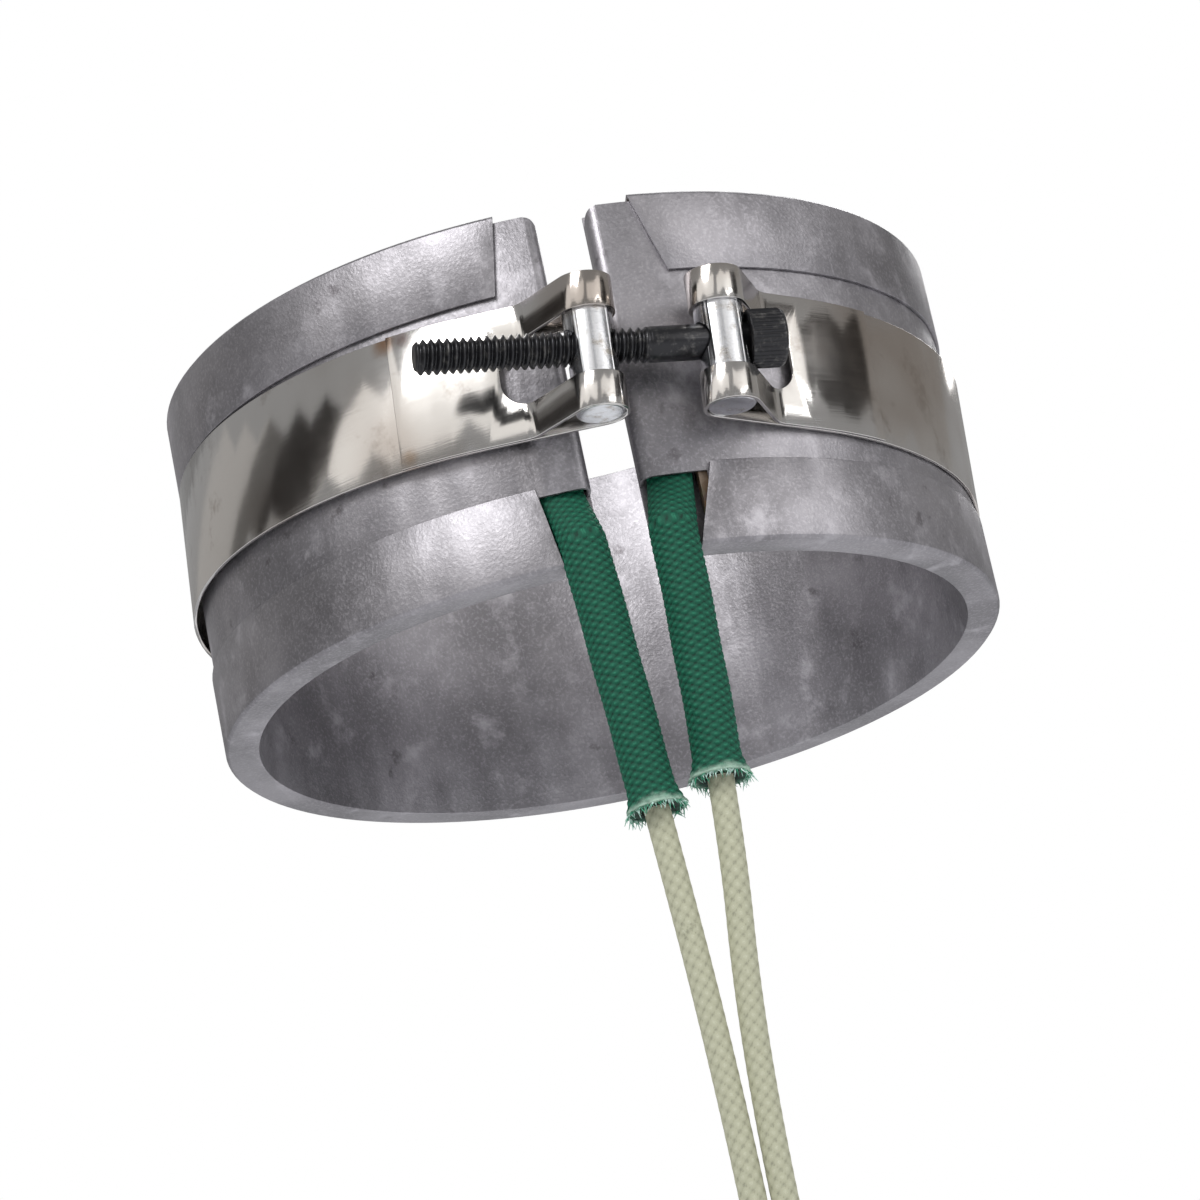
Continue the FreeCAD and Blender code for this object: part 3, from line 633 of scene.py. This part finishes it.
def strand_tree(material):
    """Twisted strands: one in the middle and a ring of others about it."""
    tree, given, output = node_tree("strands", {
        "Length": ("NodeSocketFloat", 0.01), "Ring": ("NodeSocketFloat", 0.0004),
        "Strand radius": ("NodeSocketFloat", 0.0002), "Strands": ("NodeSocketInt", 6),
        "Twist": ("NodeSocketFloat", 3.0)})
    line = node(tree, "GeometryNodeCurvePrimitiveLine", {"Start": (0, 0, 0)})
    top = node(tree, "ShaderNodeCombineXYZ", {"Z": given.outputs["Length"]})
    tree.links.new(top.outputs[0], line.inputs["End"])
    fine = node(tree, "GeometryNodeResampleCurve", {"Curve": line.outputs[0], "Count": 24})
    ring = node(tree, "GeometryNodeMeshCircle", {"Vertices": given.outputs["Strands"],
                                                 "Radius": given.outputs["Ring"]})
    copies = node(tree, "GeometryNodeInstanceOnPoints", {"Points": ring.outputs[0],
                                                         "Instance": fine.outputs[0]})
    real = node(tree, "GeometryNodeRealizeInstances", {"Geometry": copies.outputs[0]})
    both = node(tree, "GeometryNodeJoinGeometry")
    tree.links.new(real.outputs[0], both.inputs[0])
    tree.links.new(fine.outputs[0], both.inputs[0])
    place = node(tree, "GeometryNodeInputPosition")
    height = node(tree, "ShaderNodeSeparateXYZ", {"Vector": place.outputs[0]}).outputs["Z"]
    share = maths(tree, "DIVIDE", height, given.outputs["Length"])
    angle = maths(tree, "MULTIPLY", share, given.outputs["Twist"])
    turned = node(tree, "ShaderNodeVectorRotate", {"Vector": place.outputs[0], "Angle": angle},
                  rotation_type="Z_AXIS")
    twisted = node(tree, "GeometryNodeSetPosition", {"Geometry": both.outputs[0],
                                                     "Position": turned.outputs[0]})
    section = node(tree, "GeometryNodeCurvePrimitiveCircle", {"Resolution": 10,
                                                              "Radius": given.outputs["Strand radius"]})
    solid = node(tree, "GeometryNodeCurveToMesh", {"Curve": twisted.outputs[0],
                                                   "Profile Curve": section.outputs[0], "Fill Caps": True})
    finish_tree(tree, solid.outputs[0], material, output)
    return tree


def fibre_tree(material):
    """Short tapered fibres that stand out of a ring at uneven angles."""
    tree, given, output = node_tree("fibres", {
        "Ring": ("NodeSocketFloat", 0.0038), "Fibres": ("NodeSocketInt", 90),
        "Length": ("NodeSocketFloat", 0.0016), "Thickness": ("NodeSocketFloat", 0.00009),
        "Seed": ("NodeSocketInt", 1)})
    ring = node(tree, "GeometryNodeMeshCircle", {"Vertices": given.outputs["Fibres"],
                                                 "Radius": given.outputs["Ring"]})
    cone = node(tree, "GeometryNodeMeshCone", {"Vertices": 5, "Side Segments": 1,
                                               "Radius Bottom": given.outputs["Thickness"],
                                               "Radius Top": 0.00002, "Depth": given.outputs["Length"]})
    lean = node(tree, "FunctionNodeRandomValue", data_type="FLOAT_VECTOR")
    lean.inputs[0].default_value = (-0.75, -0.75, -3.1)
    lean.inputs[1].default_value = (0.75, 0.75, 3.1)
    tree.links.new(given.outputs["Seed"], lean.inputs["Seed"])
    stretch = node(tree, "FunctionNodeRandomValue", data_type="FLOAT")
    stretch.inputs[2].default_value = 0.5
    stretch.inputs[3].default_value = 1.3
    tree.links.new(given.outputs["Seed"], stretch.inputs["Seed"])
    copies = node(tree, "GeometryNodeInstanceOnPoints", {"Points": ring.outputs[0],
                                                         "Instance": cone.outputs[0],
                                                         "Rotation": lean.outputs[0],
                                                         "Scale": stretch.outputs[1]})
    finish_tree(tree, copies.outputs[0], material, output)
    return tree


# ---------------------------------------------------------------- operators
class HEATER_OT_sheaths(bpy.types.Operator):
    """Dress the folded inner sheath and the outer sheath"""
    bl_idname = "heater.sheaths"
    bl_label = "Sheaths"

    def execute(self, context):
        settings = context.scene.heater_sheath
        steel = coated_steel(settings)
        for name in ("inner_sheath", "outer_sheath"):
            settle(eased_copy(name, steel, settings.edge), BAND, "sheath", name)
        return {"FINISHED"}


class HEATER_OT_element(bpy.types.Operator):
    """Dress the mica sheets, the winding, its tabs and the feed wires"""
    bl_idname = "heater.element"
    bl_label = "Heating element"

    def execute(self, context):
        mica = mica_board(context.scene.heater_sheath)
        alloy = bare_metal("resistance_alloy", (0.42, 0.40, 0.37), 0.3)
        strand = bare_metal("feed_strand", (0.62, 0.61, 0.58), 0.25)
        for name in ("inner_mica", "mica_core", "outer_mica"):
            dress(name, mica)
        for name in ("heating_ribbon", "left_terminal", "right_terminal"):
            dress(name, alloy)
        for name in ("left_feed_wire", "right_feed_wire"):
            dress(name, strand)
        return {"FINISHED"}


class HEATER_OT_clamp(bpy.types.Operator):
    """Dress the looped strap and its two barrel nuts"""
    bl_idname = "heater.clamp"
    bl_label = "Strap and barrel nuts"

    def execute(self, context):
        settings = context.scene.heater_clamp
        settle(eased_copy("clamp_strap", polished_strip(settings), 0.08 * MM), BAND, "polished_strap",
               "clamp_strap")
        zinc = zinc_plate(settings)
        for name in ("threaded_barrel", "plain_barrel"):
            settle(eased_copy(name, zinc, 0.12 * MM), BAND, "zinc_plate", name)
        return {"FINISHED"}


class HEATER_OT_screw(bpy.types.Operator):
    """Make the socket head cap screw with its thread and knurl"""
    bl_idname = "heater.screw"
    bl_label = "Clamp screw"

    def execute(self, context):
        settings = context.scene.heater_screw
        corners = [v.co for v in frame["nodes"]["clamp_screw"].data.vertices]
        reach = max((corner - SCREW_POINT).dot(SCREW_AXIS) for corner in corners)
        seat = reach - settings.head_height
        material = black_oxide(settings)
        shank = new_object("screw_shank", self.shank_mesh(settings, seat), material)
        head = new_object("screw_head", self.head_mesh(settings, seat), material)
        settle(shank, SCREW, "black_oxide", "clamp_screw")
        settle(head, SCREW, "black_oxide", "clamp_screw")
        return {"FINISHED"}

    @staticmethod
    def point(along, angle, radius):
        """A point at a length along the screw's axis, an angle round it and a radius."""
        side = AXIS_SIDE * math.cos(angle) + AXIS_UP * math.sin(angle)
        return SCREW_POINT + SCREW_AXIS * along + side * radius

    def shank_mesh(self, settings, seat):
        """The shank from just inside the head to the tip, its thread cut as a helix."""
        sides, per_turn = 40, 10
        step = settings.pitch / per_turn
        threaded = settings.length - settings.plain_length
        rows = [seat + 0.2 * MM, seat - settings.plain_length + settings.pitch]
        start = seat - settings.plain_length
        rows += [start - step * i for i in range(int(threaded / step) + 1)]
        rows[-1] = seat - settings.length
        rings = []
        for along in rows:
            ring = []
            for place in range(sides):
                angle = 2 * math.pi * place / sides
                phase = (along / settings.pitch + place / sides) % 1.0
                groove = min(1.0, max(0.0, 1.25 * (1 - abs(2 * phase - 1)) - 0.12))
                runout = min(1.0, max(0.0, (start - along) / (1.5 * settings.pitch)))
                lead_in = max(0.0, 0.7 * MM - (along - seat + settings.length))
                depth = settings.thread_depth * groove * runout
                radius = min(settings.thread_radius - depth, settings.thread_radius - lead_in)
                ring.append(self.point(along, angle, radius))
            rings.append(ring)
        return grid_mesh("screw_shank", rings)

    def head_mesh(self, settings, seat):
        """The knurled head with its hexagon socket."""
        knurls, samples = settings.knurls, 6
        count = knurls * samples
        edge = 0.35 * MM
        height, radius = settings.head_height, settings.head_radius
        circle = [1.0] * count
        knurl = [1 - 0.034 * abs(math.sin(math.pi * i / samples)) ** 0.6 for i in range(count)]
        sixth = math.pi / 3
        hexagon = [settings.key_size / 2 / math.cos((2 * math.pi * i / count) % sixth - sixth / 2)
                   for i in range(count)]
        levels = [
            (0.0, [(radius - edge) * c for c in circle]),
            (0.25 * edge, [(radius - 0.4 * edge) * c for c in circle]),
            (1.1 * edge, [radius * k for k in knurl]), (height - 2.2 * edge, [radius * k for k in knurl]),
            (height - 1.3 * edge, [(radius - 0.12 * MM) * c for c in circle]),
            (height - 0.4 * edge, [(radius - 0.8 * edge) * c for c in circle]),
            (height, [(radius - 1.6 * edge) * c for c in circle]),
            (height, [h + 0.22 * MM for h in hexagon]), (height - 0.2 * MM, hexagon),
            (height - settings.socket_depth, hexagon),
            (height - settings.socket_depth - 0.5 * MM, [0.3 * MM] * count),
        ]
        rings = [[self.point(seat + along, 2 * math.pi * i / count, radii[i]) for i in range(count)]
                 for along, radii in levels]
        mesh = grid_mesh("screw_head", rings)
        mesh.set_sharp_from_angle(angle=math.radians(38))
        return mesh


class HEATER_OT_sleeves(bpy.types.Operator):
    """Make the two coarse braided sleeves with their flared, frayed ends"""
    bl_idname = "heater.sleeves"
    bl_label = "Sleeves"

    def execute(self, context):
        settings = context.scene.heater_lead
        # The sleeve's highlight colour is a painted highlight on the yarn tops, and 0.22 darkens the valleys
        # as painted shade.
        braid = braid_material("sleeve_yarn", tuple(settings.sleeve),
                               tuple(settings.sleeve_highlight_and_fibre), 0.22, 24, SLEEVE_PITCH, 0.0002)
        loose = fibre_tree(fibre_material(settings))
        for seed, (side, route) in enumerate((("left", LEFT_ROUTE), ("right", RIGHT_ROUTE)), start=3):
            self.make(settings, side, route, braid, loose, seed)
        return {"FINISHED"}

    def make(self, settings, side, route, braid, loose, seed):
        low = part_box(side + "_sleeve")[0]
        line, _ = centre_line(side + "_sleeve", route, SLEEVE_STEP)
        bottom = low.z + CUT_MARGIN
        line = [point for point in line if point.z >= bottom]
        start = Vector(route[0])
        throat_x = -THROAT_X if side == "left" else THROAT_X
        throat = [Vector((throat_x, THROAT_Y, z)) for z in THROAT_HEIGHTS]
        blend = [throat[1].lerp(start, share / BLEND_STEPS) for share in range(1, BLEND_STEPS)]
        points = throat + blend + line
        heading = directions(points)
        sides, strands, pitch, yarn = SLEEVE_SIDES, 10, SLEEVE_PITCH, 0.36 * MM
        radius, flare = settings.sleeve_radius - yarn * 0.6, settings.flare_radius
        rings, uv, travelled, weave, fray = [], [], 0.0, [], []
        for index, (centre, way) in enumerate(zip(points, heading)):
            if index:
                travelled += (centre - points[index - 1]).length
            flat = max(0.0, min(1.0, (centre.z - start.z) / (throat[1].z - start.z)))
            flat = flat * flat * (3 - 2 * flat)
            to_end = centre.z - bottom
            open_end = max(0.0, 1 - to_end / FLARE_LENGTH) ** 1.6
            ring = []
            for place in range(sides):
                angle = 2 * math.pi * place / sides
                height = braid_height(place / sides, travelled, strands, pitch)
                weave.append(height)
                fray.append(max(0.0, 1 - to_end / FRAY_LENGTH))
                wide = radius + (flare - radius) * open_end
                lump = LUMP * math.sin(3 * angle + travelled * LUMP_WAVE) * (1 - flat)
                reach = wide + yarn * height + lump
                x_reach = reach * (1 - flat) + THROAT_HALF_WIDTH * flat
                y_reach = reach * (1 - flat) + THROAT_HALF_DEPTH * flat
                ring.append((x_reach, y_reach, angle))
            rings.append([centre + self.square(way, x, y, a) for x, y, a in ring])
            uv.append(travelled)
        lining = settings.lead_radius + LINING_GAP
        back = slice(None, -len(line) // 2, -LINING_STEP)
        inner = [[centre + self.square(way, lining, lining, 2 * math.pi * i / sides) for i in range(sides)]
                 for centre, way in zip(points[back], heading[back])]
        uv += [travelled + 0.001 * (i + 1) for i in range(len(inner))]
        # The lining inside the sleeve takes the weave's dark valley colour: painted shade inside the tube.
        weave += [0.2] * (sides * len(inner))
        fray += [0.0] * (sides * len(inner))
        mesh = grid_mesh(side + "_sleeve_braid", rings + inner, uv=uv, values={"weave": weave, "fray": fray})
        sleeve = new_object(side + "_sleeve_braid", mesh, braid)
        settle(sleeve, BAND, "sleeve_braid", side + "_sleeve")
        end, way = points[-1], heading[-1]
        fibres = grow(side + "_sleeve_fibres", loose, bpy.data.materials["loose_fibre"],
                      frame_at(end - way * 0.2 * MM, way), Ring=flare - 0.15 * MM, Fibres=settings.fibres,
                      Length=0.0013, Thickness=0.00012, Seed=seed)
        settle(fibres, BAND, "sleeve_braid")

    @staticmethod
    def square(way, x_reach, y_reach, angle):
        """A step square to the sleeve's heading, with its own reach across and its own reach forward."""
        side = (Vector((1, 0, 0)) - way * way.x).normalized()
        front = way.cross(side)
        return side * x_reach * math.cos(angle) + front * y_reach * math.sin(angle)


class HEATER_OT_leads(bpy.types.Operator):
    """Make the two covered leads and their bared strands"""
    bl_idname = "heater.leads"
    bl_label = "Leads"

    def execute(self, context):
        settings = context.scene.heater_lead
        # (0.60, 0.61, 0.47) is a painted highlight on the yarn tops, and 0.62 darkens the valleys as painted
        # shade.
        cover = braid_material("lead_covering", tuple(settings.covering),
                               (0.60, 0.61, 0.47), 0.62, 16, 1.3 * MM, 0.0001)
        metal = bare_metal("lead_strands", (0.66, 0.65, 0.62), 0.2)
        strands = strand_tree(metal)
        for side, route in (("left", LEFT_ROUTE), ("right", RIGHT_ROUTE)):
            self.make(settings, side, route, cover, metal, strands)
        return {"FINISHED"}

    def make(self, settings, side, route, cover, metal, strands):
        points, length = centre_line(side + "_lead", route, LEAD_STEP)
        heading = directions(points)
        sides, yarn = LEAD_SIDES, 0.09 * MM
        radius = settings.lead_radius - yarn
        rings, uv, weave = [], [], []
        for index, (centre, way) in enumerate(zip(points, heading)):
            travelled = length * index / (len(points) - 1)
            heights = [braid_height(i / sides, travelled, 6, 1.9 * MM) for i in range(sides)]
            weave += heights
            rings.append(ring_about(centre, way, [radius + yarn * height for height in heights]))
            uv.append(travelled)
        mesh = grid_mesh(side + "_lead_braid", rings, uv=uv, values={"weave": weave})
        lead = new_object(side + "_lead_braid", mesh, cover)
        settle(lead, BAND, "lead_braid", side + "_lead")
        low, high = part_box(side + "_wire")
        bare = high.z - low.z - 0.3 * MM
        wire_end = grow(side + "_strands", strands, metal, frame_at(points[-1], heading[-1]),
                        Length=bare, Ring=0.42 * MM, Strands=settings.strand_count, Twist=3.2,
                        **{"Strand radius": 0.2 * MM})
        settle(wire_end, BAND, "lead_strand", side + "_wire")


class HEATER_OT_stage(bpy.types.Operator):
    """Set the floor, the background, the lamps and the camera"""
    bl_idname = "heater.stage"
    bl_label = "Stage"

    def execute(self, context):
        settings = context.scene.heater_stage
        self.floor(settings)
        self.world(context.scene)
        self.cards()
        self.lamps()
        self.camera(context.scene, settings)
        context.scene.view_settings.view_transform = "Standard"
        return {"FINISHED"}

    def floor(self, settings):
        mesh = bpy.data.meshes.new("floor")
        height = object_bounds()[0][2] - settings.distance_floor
        half = FLOOR_HALF
        mesh.from_pydata([(-half, -half, height), (half, -half, height), (half, half, height),
                          (-half, half, height)], [], [(0, 1, 2, 3)])
        material, _, shader = new_material("floor")
        shader.inputs["Base Color"].default_value = (0.86, 0.86, 0.86, 1)
        shader.inputs["Roughness"].default_value = 0.9
        new_object("floor", mesh, material)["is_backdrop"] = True

    def world(self, scene):
        world = bpy.data.worlds.new("studio")
        world.use_nodes = True
        scene.world = world
        tree = world.node_tree
        tree.nodes.clear()
        rays = node(tree, "ShaderNodeLightPath")
        seen = maths(tree, "MAXIMUM", rays.outputs["Is Camera Ray"], rays.outputs["Is Transmission Ray"])
        fill = node(tree, "ShaderNodeBackground", {"Color": (0.93, 0.95, 1.0, 1), "Strength": 0.46})
        white = node(tree, "ShaderNodeBackground", {"Color": (1, 1, 1, 1), "Strength": 1.0})
        shiny = node(tree, "ShaderNodeBackground", {"Color": (1, 1, 1, 1), "Strength": 0.34})
        glossy = node(tree, "ShaderNodeMixShader", {0: rays.outputs["Is Glossy Ray"], 1: fill.outputs[0],
                                                    2: shiny.outputs[0]})
        both = node(tree, "ShaderNodeMixShader", {0: seen, 1: glossy.outputs[0], 2: white.outputs[0]})
        out = node(tree, "ShaderNodeOutputWorld")
        tree.links.new(both.outputs[0], out.inputs["Surface"])

    def cards(self):
        """Dark and lit cards outside the view, each where one stretch of the strap mirrors it."""
        for name, first, last, glow in CARDS:
            steps = max(2, round((last - first) / CARD_STEP))
            angles = [math.radians(first + (last - first) * i / steps) for i in range(steps + 1)]
            corners = [self.mirrored(angle) + Vector((0, 0, rise)) for angle in angles
                       for rise in (-CARD_HALF_HEIGHT, CARD_HALF_HEIGHT)]
            faces = [(2 * i, 2 * i + 2, 2 * i + 3, 2 * i + 1) for i in range(steps)]
            mesh = bpy.data.meshes.new(name)
            mesh.from_pydata([tuple(corner) for corner in corners], [], faces)
            material, _, shader = new_material(name)
            shader.inputs["Base Color"].default_value = (0.015, 0.012, 0.01, 1)
            shader.inputs["Roughness"].default_value = 0.9
            shader.inputs["Emission Color"].default_value = (1.0, 0.98, 0.95, 1)
            shader.inputs["Emission Strength"].default_value = glow
            card = new_object(name, mesh, material)
            card.visible_camera = False
            card.visible_shadow = False
            card.visible_diffuse = False
            card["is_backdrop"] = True

    @staticmethod
    def mirrored(angle):
        """A point off the strap that the camera sees mirrored in it at an angle from the gap."""
        across = Vector((math.sin(angle), -math.cos(angle), 0))
        place = across * STRAP_RADIUS
        sight = (place - CAMERA_PLACE).normalized()
        return place + (sight - across * 2 * sight.dot(across)) * CARD_DISTANCE

    def lamps(self):
        for name, place, power in LAMPS:
            light = bpy.data.lights.new(name, "AREA")
            light.size = LAMP_SIZE
            light.energy = power
            lamp = bpy.data.objects.new(name, light)
            lamp.location = place
            lamp.rotation_euler = (-Vector(place)).to_track_quat("-Z", "Y").to_euler()
            bpy.context.scene.collection.objects.link(lamp)

    def camera(self, scene, settings):
        """A camera below the heater that looks up at its gap, rolled a little."""
        yaw, pitch, roll = -0.105, 0.330, -0.207
        ahead = Vector((-math.sin(yaw) * math.cos(pitch), math.cos(yaw) * math.cos(pitch), math.sin(pitch)))
        right = Vector((math.cos(yaw), math.sin(yaw), 0))
        up = right.cross(ahead)
        across = right * math.cos(roll) + up * math.sin(roll)
        above = up * math.cos(roll) - right * math.sin(roll)
        data = bpy.data.cameras.new("camera")
        data.lens = settings.focal
        data.sensor_width = 36
        camera = bpy.data.objects.new("camera", data)
        turn = Matrix((across, above, -ahead)).transposed().to_4x4()
        camera.matrix_world = Matrix.Translation(CAMERA_PLACE) @ turn
        scene.collection.objects.link(camera)
        scene.camera = camera


class HEATER_PT_panel(bpy.types.Panel):
    """The heater's pieces"""
    bl_label = "Band heater"
    bl_space_type = "VIEW_3D"
    bl_region_type = "UI"
    bl_category = "Band heater"

    def draw(self, context):
        for operator in OPERATORS:
            self.layout.operator(operator.bl_idname)


SETTINGS = {"heater_sheath": SheathSettings, "heater_clamp": ClampSettings, "heater_screw": ScrewSettings,
            "heater_lead": LeadSettings, "heater_stage": StageSettings}
OPERATORS = (HEATER_OT_sheaths, HEATER_OT_element, HEATER_OT_clamp, HEATER_OT_screw, HEATER_OT_sleeves,
             HEATER_OT_leads, HEATER_OT_stage)


def register():
    for item in (*SETTINGS.values(), *OPERATORS, HEATER_PT_panel):
        bpy.utils.register_class(item)
    for name, group in SETTINGS.items():
        setattr(bpy.types.Scene, name, bpy.props.PointerProperty(type=group))


def unregister():
    for name in SETTINGS:
        delattr(bpy.types.Scene, name)
    for item in (HEATER_PT_panel, *OPERATORS, *SETTINGS.values()):
        bpy.utils.unregister_class(item)


def main():
    register()
    for operator in ("sheaths", "element", "clamp", "screw", "sleeves", "leads", "stage"):
        getattr(bpy.ops.heater, operator)()


if __name__ == "__main__":
    main()
